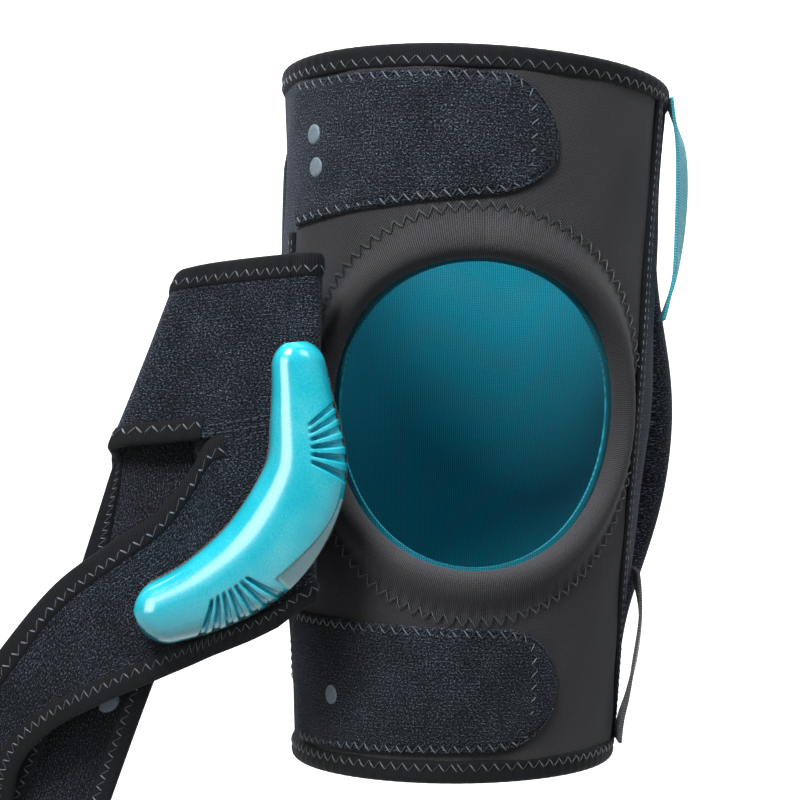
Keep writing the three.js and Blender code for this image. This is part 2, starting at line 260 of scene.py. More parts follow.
def slab(name, outer, inner, flat, looks, wrap=False, sharp=math.radians(50)):
    """A closed sheet between two grids of points. looks are those of its outside, its inside and its rim."""
    columns, rows = outer.shape[0] - 1, outer.shape[1] - 1
    count = outer.shape[0] * outer.shape[1]
    out_faces, out_places = grid_faces(columns, rows, 0, False, wrap)
    in_faces, in_places = grid_faces(columns, rows, count, True, wrap)
    rim_faces, rim_places = [], []

    def rim(path, flip):
        path = np.array(path)
        a, b = path[:-1], path[1:]
        quads = [a, b, b, a] if flip else [b, a, a, b]
        shift = [0, 0, 1, 1]
        index = lambda p: (p[:, 0] % columns if wrap else p[:, 0]) * (rows + 1) + p[:, 1]
        rim_faces.append(np.stack([index(q) + count * s for q, s in zip(quads, shift)], 1))
        rim_places.append(np.stack(quads, 1))

    rim([(i, 0) for i in range(columns + 1)], False)
    rim([(i, rows) for i in range(columns + 1)], True)
    if not wrap:
        rim([(0, j) for j in range(rows + 1)], True)
        rim([(columns, j) for j in range(rows + 1)], False)
    faces = np.vstack([out_faces, in_faces, *rim_faces])
    places = np.vstack([out_places, in_places, *rim_places])
    points = np.vstack([outer.reshape(-1, 3), inner.reshape(-1, 3)])
    uv = flat[places[..., 0], places[..., 1]].reshape(-1, 2)
    last = len(looks) - 1
    sizes = [len(out_faces), len(in_faces), len(faces) - 2 * len(out_faces)]
    kinds = np.repeat([0, min(1, last), min(2, last)], sizes)
    if wrap:  # the last column repeats the first, so its points are dropped
        used, faces = np.unique(faces, return_inverse=True)
        points, faces = points[used], faces.reshape(-1, 4)
    return make_piece(name, points, faces.tolist(), looks, uv, kinds, sharp)


def tube(name, rings, flat, looks, closed=False, sharp=math.radians(60)):
    """A solid from rings of points: rings[i, j] is point j of cross-section i. If it isn't closed on itself,
    its ends are capped."""
    count, around = rings.shape[0], rings.shape[1]
    points = rings.reshape(-1, 3)
    last = count if closed else count - 1
    i, j = np.meshgrid(np.arange(last), np.arange(around), indexing="ij")
    i, j = i.ravel(), j.ravel()
    corners = [(i, j), (i, j + 1), (i + 1, j + 1), (i + 1, j)]
    faces = np.stack([(a % count) * around + b % around for a, b in corners], 1).tolist()
    uv = [flat[np.minimum(a, flat.shape[0] - 1), np.minimum(b, flat.shape[1] - 1)] for a, b in corners]
    uv = np.stack(uv, 1).reshape(-1, 2)
    if not closed:
        faces.append(list(range(around))[::-1])
        faces.append(list(range((count - 1) * around, count * around)))
        uv = np.vstack([uv, flat[0, :around][::-1], flat[-1, :around]])
    return make_piece(name, points, faces, looks, uv, sharp=sharp)


def across_at(edge, z):
    return edge(z) if callable(edge) else edge


def grid(first, second):
    return np.stack(np.meshgrid(first, second, indexing="ij"), -1)


def cloth(name, surface, first, second, low, high, columns, rows, thickness, looks, face=0.0, relief=None):
    """A closed sheet on a surface, its outside at offset face. first and second give its sides at each
    height, from low to high."""
    u, v = np.meshgrid(np.linspace(0, 1, columns + 1), np.linspace(0, 1, rows + 1), indexing="ij")
    up = low + (high - low) * v
    start = across_at(first, up)
    across = start + (across_at(second, up) - start) * u
    lift = relief(across, up) if relief else 0 * across
    outer = surface(across, up, face + lift)
    inner = surface(across, up, face - thickness + lift)
    return slab(name, outer, inner, np.stack([across, up], -1), looks)


ZIGZAG_PITCH = 4.9
BAND_SIDES = 20


def band(name, surface, path, half_width, half_height, looks, lift=0.0, power=2.6, ripple=0.0,
         straight=False):
    """A puffed tape along path, an array of places on the flat cloth, with a rounded cross-section. A
    straight one is cut off across the cloth at its ends."""
    ahead = unit(np.gradient(path, axis=0))
    side = np.stack([0 * ahead[:, 1], 0 * ahead[:, 0] - 1] if straight else [ahead[:, 1], -ahead[:, 0]], 1)
    turn = np.linspace(0, 2 * math.pi, BAND_SIDES, endpoint=False)
    out, rise = rounded(turn, power)
    out, rise = out * half_width, rise * half_height
    reach = distances(path)
    places = path[:, None, :] + side[:, None, :] * out[None, :, None]
    swell = 1 + ripple * np.sin(2 * math.pi * reach / ZIGZAG_PITCH)[:, None]
    rings = surface(places[..., 0], places[..., 1], lift + rise[None, :] * np.where(rise > 0, swell, 1))
    girth = np.concatenate([turn, [2 * math.pi]]) / (2 * math.pi) * (4 * half_width)
    return tube(name, rings, grid(reach, girth), looks)


STITCH_SIDES = 6
STITCH_RINGS = 5
STITCH_SINK = 0.15  # how far a thread's ends go into the cloth


def stitches(name, surface, starts, ends, looks, radius=0.21, lift=0.0, arch=0.25):
    """Threads from starts to ends, places on the flat cloth, each one a short arched strand. The looks take
    turns, strand by strand."""
    t = np.linspace(0, 1, STITCH_RINGS)
    arched = lift + arch * np.sin(math.pi * t) - STITCH_SINK * (1 - np.sin(math.pi * t))
    size = radius * (0.6 + 0.4 * np.sin(math.pi * t))
    ahead = unit(ends - starts)
    side = np.stack([ahead[:, 1], -ahead[:, 0]], 1)
    turn = np.linspace(0, 2 * math.pi, STITCH_SIDES, endpoint=False)
    middle = starts[:, None, :] + (ends - starts)[:, None, :] * t[None, :, None]
    out = np.cos(turn)[None, :] * size[:, None]
    rise = np.sin(turn)[None, :] * size[:, None] + arched[:, None]
    places = middle[:, :, None, :] + side[:, None, None, :] * out[None, :, :, None]
    points = surface(places[..., 0], places[..., 1], np.broadcast_to(rise, places.shape[:-1]))
    n = len(starts)
    i, j = np.meshgrid(np.arange(STITCH_RINGS - 1), np.arange(STITCH_SIDES), indexing="ij")
    i, j = i.ravel(), j.ravel()
    quad = np.stack([i * STITCH_SIDES + j, i * STITCH_SIDES + (j + 1) % STITCH_SIDES,
                     (i + 1) * STITCH_SIDES + (j + 1) % STITCH_SIDES, (i + 1) * STITCH_SIDES + j], 1)
    block = STITCH_RINGS * STITCH_SIDES
    first = np.arange(n)[:, None] * block
    cap = np.arange(STITCH_SIDES)
    faces = (quad[None] + first[:, :, None]).reshape(-1, 4).tolist()
    faces += (cap[::-1][None] + first).tolist()
    faces += (cap[None] + block - STITCH_SIDES + first).tolist()
    turns = np.arange(n) % len(looks)
    kinds = np.concatenate([np.repeat(turns, len(quad)), turns, turns])
    corners = np.concatenate([np.asarray(f) for f in faces])
    strand = np.broadcast_to(t[None, :, None] * 3, (n, STITCH_RINGS, STITCH_SIDES)).reshape(-1)
    flat = np.stack([strand[corners], (corners % STITCH_SIDES) * 0.3], -1)
    return make_piece(name, points.reshape(-1, 3), faces, looks, flat, kinds)


def along_path(path, pitch):
    """Evenly spaced places on a path, with the direction to its right at each."""
    reach = distances(path)
    count = max(2, int(round(reach[-1] / pitch)))
    at = np.linspace(0, reach[-1], count + 1)
    places = np.stack([np.interp(at, reach, path[:, k]) for k in range(2)], -1)
    ahead = unit(np.gradient(places, axis=0))
    return places, np.stack([ahead[:, 1], -ahead[:, 0]], 1)


def zigzag(name, surface, path, looks, pitch=ZIGZAG_PITCH, reach=1.3, **how):
    """A zigzag seam: two threads to each pitch, reach to each side of the path."""
    places, side = along_path(path, pitch / 2)
    swing = np.where(np.arange(len(places)) % 2 == 0, -reach, reach)[:, None]
    corners = places + side * swing
    return stitches(name, surface, corners[:-1], corners[1:], looks, **how)


def running(name, surface, path, looks, pitch=3.0, gap=0.25, **how):
    """A straight seam of running stitches."""
    places, _ = along_path(path, pitch)
    starts, ends = places[:-1], places[1:]
    shrink = (ends - starts) * gap / 2
    return stitches(name, surface, starts + shrink, ends - shrink, looks, **how)


# Materials ----

class Look:
    """A principled material whose nodes read the flat cloth, or the object, in metres."""

    def __init__(self, name, roughness, **settings):
        self.material = bpy.data.materials.new(name)
        self.material.use_nodes = True
        self.tree = self.material.node_tree
        self.shader = self.tree.nodes["Principled BSDF"]
        self.shader.inputs["Roughness"].default_value = roughness
        for socket, value in settings.items():
            self.shader.inputs[socket.replace("_", " ")].default_value = value

    def node(self, kind, inputs=None, **settings):
        node = self.tree.nodes.new(kind)
        for key, value in settings.items():
            setattr(node, key, value)
        for key, value in (inputs or {}).items():
            if isinstance(value, bpy.types.NodeSocket):
                self.tree.links.new(value, node.inputs[key])
            else:
                node.inputs[key].default_value = value
        return node

    def flat(self, stretch=(1, 1, 1), turn=0.0):
        """Coordinates on the flat cloth, stretched and turned."""
        source = self.node("ShaderNodeUVMap", uv_map="cloth").outputs[0]
        inputs = {"Vector": source, "Scale": stretch, "Rotation": (0, 0, turn)}
        return self.node("ShaderNodeMapping", inputs).outputs[0]

    def solid(self):
        return self.node("ShaderNodeTexCoord").outputs["Object"]

    def noise(self, place, scale, detail=2, rough=0.5):
        inputs = {"Vector": place, "Scale": scale, "Detail": detail, "Roughness": rough}
        return self.node("ShaderNodeTexNoise", inputs).outputs["Fac"]

    def rows(self, place, period_mm, warp=0.0, warp_scale=1.0, axis="Y"):
        """Rows across the cloth, from 0 to 1 and back, one to each period."""
        inputs = {"Vector": place, "Scale": 2 * math.pi / (20 * period_mm * MM), "Distortion": warp,
                  "Detail": 2.0, "Detail Scale": warp_scale}
        return self.node("ShaderNodeTexWave", inputs, wave_type="BANDS", bands_direction=axis).outputs["Fac"]

    def math(self, operation, a, b):
        return self.node("ShaderNodeMath", {0: a, 1: b}, operation=operation).outputs[0]

    def mix(self, *parts):
        """The sum of factors, each one given with its weight."""
        total = None
        for factor, weight in parts:
            part = self.math("MULTIPLY", factor, weight)
            total = part if total is None else self.math("ADD", total, part)
        return total

    def ramp(self, factor, stops):
        node = self.node("ShaderNodeValToRGB", {"Fac": factor})
        elements = node.color_ramp.elements
        while len(elements) < len(stops):
            elements.new(0.5)
        for element, (position, colour) in zip(elements, stops):
            element.position = position
            element.color = (*colour, 1)
        return node.outputs["Color"]

    def paint(self, colour):
        self.tree.links.new(colour, self.shader.inputs["Base Color"])

    def gloss(self, factor):
        self.tree.links.new(factor, self.shader.inputs["Roughness"])

    def finish(self, shade, stops, height, depth_mm, strength):
        """Colours the material along shade, each stop in levels from 0 to 255, and roughens it by height."""
        self.paint(self.ramp(shade, [(position, srgb(*levels)) for position, levels in stops]))
        inputs = {"Height": height, "Distance": depth_mm * MM, "Strength": strength}
        self.tree.links.new(self.node("ShaderNodeBump", inputs).outputs[0], self.shader.inputs["Normal"])
        return self.material


def srgb(*levels):
    """Linear colour from 0 to 255 levels."""
    return tuple((level / 255) ** 2.2 for level in levels)


def plush_look(name, dark, light):
    """Brushed loop knit: courses of loops about 1.2 mm apart, with sparse fibres in the light colour. On the
    black plush these are painted highlights; on the heather grey they are its pale grey fibres.
    """
    look = Look(name, 0.95, Sheen_Weight=0.18, Sheen_Roughness=0.45, Sheen_Tint=(0.62, 0.72, 0.9, 1),
                Specular_IOR_Level=0.12)
    place = look.flat()
    loops = look.noise(look.flat((1, 1.5, 1)), 1500, 2, 0.55)
    courses = look.rows(place, 1.25, 5.0, 2.2)
    fuzz = look.noise(place, 3200, 1, 0.5)
    patches = look.noise(place, 70)
    mixed = look.mix((loops, 0.8), (courses, 0.05), (fuzz, 0.3), (patches, 0.09))
    middle = [0.68 * d + 0.32 * l for d, l in zip(dark, light)]
    return look.finish(mixed, [(0.54, dark), (0.68, middle), (0.83, light)], mixed, 0.7, 0.8)


def jersey_look(name, dark, light, turn, period=0.78):
    """Fine knit with slanting wales."""
    look = Look(name, 0.85, Sheen_Weight=0.12, Sheen_Roughness=0.5, Sheen_Tint=(0.8, 0.85, 0.95, 1),
                Specular_IOR_Level=0.2)
    place = look.flat(turn=turn)
    wales = look.rows(place, period, 0.6, 3.0, "X")
    courses = look.rows(place, period * 0.8, 0.6, 3.0, "Y")
    grain = look.noise(look.flat(), 1500, 3, 0.6)
    shade = look.noise(look.flat(), 22, 3, 0.55)
    mixed = look.mix((wales, 0.34), (courses, 0.16), (grain, 0.4), (shade, 0.2))
    return look.finish(mixed, [(0.3, dark), (0.8, light)], mixed, 0.22, 0.7)


def tape_look(name, dark, light):
    """Folded knit tape with fine ribs across it."""
    look = Look(name, 0.8, Sheen_Weight=0.06, Sheen_Roughness=0.4, Sheen_Tint=(0.7, 0.8, 0.95, 1),
                Specular_IOR_Level=0.18)
    place = look.flat()
    ribs = look.rows(place, 0.8, 1.0, 2.0, "X")
    grain = look.noise(place, 1800, 2, 0.6)
    shade = look.noise(place, 60)
    mixed = look.mix((ribs, 0.4), (grain, 0.45), (shade, 0.2))
    return look.finish(mixed, [(0.3, dark), (0.8, light)], mixed, 0.2, 0.6)


def thread_look(name, dark, light):
    """Twisted thread: its plies slant across it, and it's worn here and there."""
    look = Look(name, 0.45, Sheen_Weight=0.2)
    place = look.flat()
    ply = look.rows(look.flat(turn=0.6), 0.5, 0.3, 1.0, "X")
    worn = look.noise(place, 900, 1, 0.5)
    mixed = look.mix((ply, 0.6), (worn, 0.4))
    return look.finish(mixed, [(0.25, dark), (0.75, light)], ply, 0.05, 0.6)


def webbing_look(name, dark, light):
    """Grosgrain: strong ribs across the band and a fine weave."""
    look = Look(name, 0.55, Sheen_Weight=0.2, Sheen_Roughness=0.4)
    place = look.flat()
    ribs = look.rows(place, 1.0, 0.25, 2.0, "X")
    weave = look.rows(place, 0.5, 0.4, 2.0, "Y")
    grain = look.noise(place, 1500, 2, 0.6)
    mixed = look.mix((ribs, 0.6), (weave, 0.2), (grain, 0.2))
    return look.finish(mixed, [(0.1, dark), (0.75, light)], mixed, 0.3, 0.7)


def gel_look():
    """Glossy moulded elastomer: a clear skin over a faintly sparkling, slightly uneven teal."""
    look = Look("gel_teal", 0.2, Coat_Weight=0.7, Coat_Roughness=0.18, Subsurface_Weight=0.12,
                Subsurface_Radius=(0.2, 1.0, 1.0), Subsurface_Scale=0.004)
    place = look.solid()
    cloud = look.noise(place, 45)
    sparkle = look.noise(place, 2600, 1, 0.5)
    mixed = look.mix((cloud, 0.4), (sparkle, 0.3))
    stops = [(0.2, (10, 187, 214)), (0.36, (40, 212, 234)), (0.55, (128, 234, 244))]
    look.gloss(look.math("ADD", look.mix((look.noise(place, 400), 0.14)), 0.16))
    return look.finish(mixed, stops, look.noise(place, 900), 0.03, 0.25)


def flange_look():
    look = Look("gel_flange", 0.3, Coat_Weight=0.4, Coat_Roughness=0.15, Subsurface_Weight=0.3,
                Subsurface_Radius=(0.6, 1.0, 1.0), Subsurface_Scale=0.004)
    place = look.solid()
    cloud = look.noise(place, 60)
    stops = [(0.3, (184, 232, 240)), (0.7, (214, 242, 247))]
    return look.finish(cloud, stops, look.noise(place, 900), 0.03, 0.3)


def dot_look():
    look = Look("dot_print", 0.6)
    grain = look.noise(look.solid(), 900, 2, 0.6)
    return look.finish(grain, [(0.3, (108, 124, 136)), (0.7, (134, 150, 160))], grain, 0.08, 0.5)


def hook_look():
    """Moulded hook tape: rows of tiny hooks on a woven ground."""
    look = Look("hook_tape", 0.6)
    inputs = {"Vector": look.solid(), "Scale": 900.0, "Randomness": 0.35}
    cell = look.node("ShaderNodeTexVoronoi", inputs).outputs["Distance"]
    stops = [(0.15, (112, 106, 100)), (0.6, (58, 54, 52))]
    return look.finish(cell, stops, look.math("SUBTRACT", 1.0, cell), 0.5, 0.8)


# The black plush's light colour, 132, 145, 163, paints highlights on its fibres.
PLUSH = plush_look("plush_black", (8, 9, 12), (132, 145, 163))
HEATHER = plush_look("heather_grey", (15, 16, 20), (132, 141, 156))
JERSEY = jersey_look("jersey_charcoal", (20, 20, 23), (82, 82, 86), 0.6)
RING_KNIT = jersey_look("ring_rib_knit", (18, 18, 21), (86, 86, 90), 0.0, 0.7)
REAR_KNIT = jersey_look("popliteal_knit", (34, 34, 37), (70, 70, 74), 0.0, 1.6)
TAPE = tape_look("tape_black", (7, 8, 10), (32, 35, 41))
LINING = jersey_look("lining_teal", (6, 92, 112), (34, 160, 182), 0.0, 0.9)
TEAL_WEBBING = webbing_look("webbing_teal", (4, 132, 158), (34, 208, 228))
GREY_WEBBING = webbing_look("webbing_grey", (30, 32, 36), (104, 108, 114))
THREAD = thread_look("thread_blue_grey", (70, 80, 92), (146, 160, 175))
DARK_THREAD = thread_look("thread_dark", (26, 29, 35), (84, 94, 106))
BLACK_THREAD = thread_look("thread_black", (10, 11, 14), (42, 47, 54))
GEL = gel_look()
FLANGE = flange_look()
DOT = dot_look()
HOOK = hook_look()


# Shell ----

def attach(piece, body):
    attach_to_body(piece, body)


def undulate(across, up):
    """The slight unevenness of stretched cloth."""
    slow = 0.35 * np.sin(across / 9.0 + up / 23.0) * np.sin(up / 17.0 - across / 41.0)
    return slow + 0.2 * np.sin(across / 4.7 - up / 8.3)


def rays_to_outline(turn):
    """How far the front panel reaches from the middle of the hole, along each direction."""
    reach = np.zeros_like(turn)
    nearest, farthest, step = 60, 175, 0.1
    for distance in np.linspace(nearest, farthest, round((farthest - nearest) / step) + 1):
        across = HOLE_ACROSS + distance * np.sin(turn)
        up = distance * np.cos(turn)
        inside = (up < CLOTH_TOP) & (up > CLOTH_BOTTOM) & (across < right_seam(up)) & (across > left_seam(up))
        further = inside & (reach >= distance - 0.15)
        reach = np.where(further, distance, np.where(distance <= nearest, nearest, reach))
    return reach


PUCKERS = 92  # how many there are round the ring
PUCKER = 0.3


def hole_reach(turn, grow=0.0):
    """How far the patella hole's rim is from its middle, along each direction."""
    half_width, half_height = HOLE_RADIUS * HOLE_STRETCH + grow, HOLE_RADIUS + grow
    return 1 / np.hypot(np.sin(turn) / half_width, np.cos(turn) / half_height)


def around_hole(name, first, offset, thickness, looks, columns=720, rows=46, relief=None):
    """The front of the shell as a sheet, in rays from the rim first(turn) to the panel's outline."""
    turn = np.linspace(0, 2 * math.pi, columns + 1)
    start = first(turn)
    reach = np.maximum(rays_to_outline(turn), start + 0.6)
    v = np.linspace(0, 1, rows + 1) ** 1.15
    distance = start[:, None] + (reach - start)[:, None] * v[None, :]
    across = HOLE_ACROSS + distance * np.sin(turn)[:, None]
    up = distance * np.cos(turn)[:, None]
    into = distance - start[:, None]
    if relief is None:
        relief = undulate(across, up) * smoothstep(into, 0, 14)
        relief = relief + PUCKER * np.sin(PUCKERS * turn)[:, None] * (1 - smoothstep(into, 0, 5))
    outer = leg(across, up, offset + relief)
    inner = leg(across, up, offset - thickness + relief)
    flat = np.stack([across, up], -1)
    return slab(name, outer[:, ::-1], inner[:, ::-1], flat[:, ::-1], looks, wrap=True)


def add_shell_cloth():
    rim = lambda turn: SEAM_RADIUS - 1.5 + 0 * turn
    front = around_hole("front_panel_cloth", rim, 0.0, CLOTH, [JERSEY])
    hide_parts("front_panel")
    attach(front, "shell")
    panels = [
        ("right_side_panel", right_seam, REAR_SEAM, PLUSH, 0.0, CLOTH, 70, 118),
        ("left_side_panel", -REAR_SEAM, left_seam, PLUSH, 0.0, CLOTH, 60, 118),
        ("popliteal_knit_panel", REAR_SEAM, FULL_TURN - REAR_SEAM, REAR_KNIT, -0.8, CLOTH - 1.6, 110, 118),
    ]
    for node, first, second, look, face, thick, columns, rows in panels:
        piece = cloth(node + "_cloth", leg, first, second, CLOTH_BOTTOM, CLOTH_TOP, columns, rows, thick,
                      [look], face, undulate)
        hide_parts(node)
        levels = (-80.0, 0.0, 80.0)
        width = float(np.mean([abs(across_at(second, z) - across_at(first, z)) for z in levels]))
        attach(piece, "shell")


def add_lining():
    """A thin tube in two pieces: its front in rays from the hole, and its back a plain sheet."""
    outer, thickness = -CLOTH - 0.7, 0.8
    rim = lambda turn: hole_reach(turn, -1.0)
    front = around_hole("inner_lining_cloth", rim, outer, thickness, [LINING], 300, 30, relief=0.0)
    round_back = lambda z: FULL_TURN + left_seam(z)
    back = cloth("inner_lining_back", leg, right_seam, round_back, CLOTH_BOTTOM, CLOTH_TOP, 150, 90,
                 thickness, [LINING], outer)
    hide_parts("inner_lining")
    attach(front, "shell")
    attach(back, "shell")


RING_BASE = -2.2
ROLL_RISE = 5.8
ROLL_FALL = 3.3
RING_UNDER = 1.9


def half_round(share, end):
    """A quarter of a circle's rise, from 0 to 1 as share goes from 0 to end."""
    return np.sqrt(np.clip(1 - (1 - np.minimum(share / end, 1)) ** 2, 0, 1))


def add_patella_ring():
    """A padded roll at the hole's rim that thins out to the seam, covered in rib knit."""
    q = np.linspace(0, 1, 30) ** 1.5
    top = RING_BASE + ROLL_RISE * half_round(q, 0.3) - ROLL_FALL * smoothstep(q, 0.34, 1.0)
    under = RING_BASE - RING_UNDER * half_round(q, 0.16)
    share = np.concatenate([q, q[::-1][:-1]])
    height = np.concatenate([top, under[::-1][:-1]])
    columns = 920
    around = np.linspace(0, 2 * math.pi, columns, endpoint=False)
    rim = hole_reach(around)[:, None]
    distance = rim + (SEAM_RADIUS - rim) * share[None, :]
    across = HOLE_ACROSS + distance * np.sin(around)[:, None]
    up = distance * np.cos(around)[:, None]
    seam = smoothstep(share, 0.62, 1.0)
    pucker = PUCKER * np.sin(around * PUCKERS)[:, None] * seam[None, :] * (height[None, :] > -1)
    soft = 0.25 * np.sin(3 * around + 1.0)[:, None] + 0.15 * np.sin(8 * around)[:, None]
    rings = leg(across, up, height[None, :] + pucker + soft * (height[None, :] > 0))
    width = SEAM_RADIUS - HOLE_RADIUS
    girth = np.concatenate([[0], np.cumsum(np.hypot(np.diff(share) * width, np.diff(height)))])
    girth = np.concatenate([girth, [girth[-1] + 3]])
    length = np.linspace(0, 2 * math.pi * (HOLE_RADIUS + 8), columns + 1)
    ring = tube("patella_ring_padding", rings[::-1], grid(length, girth), [RING_KNIT], closed=True)
    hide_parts("patella_ring")
    attach(ring, "shell")
    add_ring_seam()


def add_ring_seam():
    """A zigzag seam round the ring, broken where a side panel covers it."""
    count, radius = 800, SEAM_RADIUS + 0.4
    turn = np.linspace(0.0, 2 * math.pi, count)
    path = np.stack([HOLE_ACROSS + radius * np.sin(turn), radius * np.cos(turn)], 1)
    keep = (path[:, 0] < right_seam(path[:, 1]) - 3) & (path[:, 0] > left_seam(path[:, 1]) + 3)
    order = np.roll(np.arange(count), -int(np.argmin(keep)))
    path = path[order][keep[order]]
    gap = np.linalg.norm(np.diff(path, axis=0), axis=1)
    path = path[:int(np.argmax(gap)) + 1] if gap.max() > 5 else path
    thread = zigzag("patella_ring_seam_thread", leg, path, [DARK_THREAD, BLACK_THREAD], pitch=4.8, reach=1.7,
                    lift=0.8, radius=0.24)
    attach(thread, "shell")


def add_hem(level, low):
    """Folded tape round the edge of the shell, with a zigzag seam in its inner half."""
    inner, outer = -5.8, 1.25
    columns, sides = 360, 30
    around = np.linspace(0, FULL_TURN, columns + 1)
    turn = around[:-1]
    middle_z = low + BINDING_HEIGHT / 2
    angles = np.linspace(0, 2 * math.pi, sides, endpoint=False)
    out, rise = rounded(angles, 3.4)
    up = middle_z + out * BINDING_HEIGHT / 2
    offset = (inner + outer) / 2 + rise * (outer - inner) / 2
    inward = 1 if low < 0 else -1
    dip = -0.35 * np.exp(-((up - (middle_z + inward * 1.3)) / 1.1) ** 2) * (rise > 0)
    wave = 0.12 * np.sin(turn * 2 * math.pi / ZIGZAG_PITCH)[:, None] * (rise > 0)[None, :]
    rings = leg(turn[:, None] + 0 * up[None, :], up[None, :] + 0 * turn[:, None],
                offset[None, :] + dip[None, :] + wave)
    girth = np.linspace(0, 2 * (BINDING_HEIGHT + outer - inner), sides + 1)
    hem = tube(f"{level}_binding_tape", rings, grid(around, girth), [TAPE], closed=True)
    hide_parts(f"{level}_binding")
    seam = np.linspace(0, FULL_TURN, 600)
    path = np.stack([seam, 0 * seam + middle_z + inward * 1.5], 1)
    thread = zigzag(f"{level}_binding_thread", leg, path, [THREAD, BLACK_THREAD], reach=1.35,
                    lift=outer - 0.25)
    attach(hem, "shell")
    attach(thread, "shell")


# Loop patches ----

PATCH_STITCH_INSET = 1.8


def add_patch(level, first, last, low, high, rounding, lean):
    """A loop patch with a rounded end, sewn down by a zigzag seam near its edge."""
    middle = (low + high) / 2
    columns, rows = 190, 90

    def edges(across):
        into = np.clip((across - (last - rounding)) / rounding, 0, 0.995)
        full = np.sqrt(1 - into**2)
        edge = low + lean * (across - first)
        return middle + (edge - middle) * full, middle + (high - middle) * full

    u, v = np.meshgrid(np.linspace(0, 1, columns + 1) ** 0.8, np.linspace(0, 1, rows + 1), indexing="ij")
    across = first + (last - first) * u
    bottom, top = edges(across)
    up = bottom + (top - bottom) * v
    near = np.minimum(np.minimum(up - bottom, top - up), (last - across) * 1.2)
    dip = 0.55 * np.exp(-((near - PATCH_STITCH_INSET) / 0.9) ** 2)
    lift = 1.9 - dip - 0.9 * (1 - smoothstep(near, 0, 1.0))
    follow = undulate(across, up) * 0.9
    outer = leg(across, up, lift + follow)
    inner = leg(across, up, 0.15 + follow)
    patch = slab(f"{level}_loop_patch_plush", outer, inner, np.stack([across, up], -1), [PLUSH])
    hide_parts(f"{level}_loop_patch")
    along = np.linspace(first + 2, last - 0.2, 160)
    bottom, top = edges(along)
    lower = np.stack([along, bottom + PATCH_STITCH_INSET], 1)
    upper = np.stack([along, top - PATCH_STITCH_INSET], 1)[::-1]
    outline = np.vstack([lower[:-12], upper[12:]])
    thread = zigzag(f"{level}_loop_patch_thread", leg, smooth_flat(outline), [THREAD, BLACK_THREAD],
                    pitch=4.6, reach=1.35, lift=1.7)
    attach(patch, "shell")
    attach(thread, "shell")


def smooth_flat(path):
    """Rounds a path's corners, with its ends kept."""
    path = path.copy()
    for _ in range(20):
        path[1:-1] = (path[:-2] + 2 * path[1:-1] + path[2:]) / 4
    return path


DOT_RADIUS = 3.4


def add_dot(name, surface, across, up, lift):
    """A printed rubber dot with a softly rounded rim."""
    turn = np.linspace(0, 2 * math.pi, 49)
    share = np.linspace(0.02, 1, 9)
    places = [across + DOT_RADIUS * share[None, :] * np.cos(turn)[:, None],
              up + DOT_RADIUS * share[None, :] * np.sin(turn)[:, None]]
    dome = 0.55 * np.sqrt(np.clip(1 - share**6, 0, 1))[None, :] + 0 * turn[:, None]
    outer = surface(places[0], places[1], lift + dome)
    inner = surface(places[0], places[1], lift - 0.35 + 0 * dome)
    flat = np.stack(places, -1)
    return slab(name + "_print", outer[:, ::-1], inner[:, ::-1], flat[:, ::-1], [DOT], wrap=True)


def add_patches():
    add_patch("upper", -77.0, 27.0, 65.0, CLOTH_TOP - 2.6, 22.0, 0.11)
    add_patch("lower", -82.0, 40.0, CLOTH_BOTTOM + 2.6, -73.0, 24.0, 0.02)
    for name, across, up in (("upper_patch_dot_high", -64.0, 95.0), ("upper_patch_dot_low", -62.5, 84.0),
                             ("lower_patch_dot", -55.0, -99.0)):
        dot = add_dot(name, leg, across, up, 2.0)
        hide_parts(name)
        attach(dot, "shell")


# Seams and stays ----

def seam_path(seam, low, high, shift=0.0):
    up = np.linspace(low, high, 240)
    return np.stack([seam(up) + shift, up], 1)


def add_seams():
    """Piped seams beside the front panel, and flat taped ones at the rear."""
    for side, seam, low, high in (("right", right_seam, CLOTH_BOTTOM + 1, CLOTH_TOP - 2),
                                  ("left", left_seam, -72.0, 63.0)):
        path = seam_path(seam, low, high)
        piping = band(f"front_{side}_seam_tape", leg, path, 3.0, 1.0, [TAPE], lift=0.45, ripple=0.06)
        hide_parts(f"front_{side}_seam_piping")
        attach(piping, "shell")
        for mark, shift in (("a", -1.5), ("b", 1.5)):
            sewn = seam_path(seam, low + 2, high - 2, shift)
            thread = running(f"front_{side}_seam_thread_{mark}", leg, sewn, [THREAD], radius=0.18, lift=1.3,
                             arch=0.1)
            attach(thread, "shell")
    for side, across in (("right", REAR_SEAM), ("left", -REAR_SEAM)):
        path = seam_path(lambda z: across + 0 * z, CLOTH_BOTTOM + 1, CLOTH_TOP - 2)
        tape = band(f"rear_{side}_seam_tape", leg, path, 2.4, 0.8, [TAPE], lift=-0.1)
        attach(tape, "shell")
        thread = zigzag(f"rear_{side}_seam_thread", leg, path, [DARK_THREAD], pitch=4.4, reach=1.2, lift=0.55)
        attach(thread, "shell")


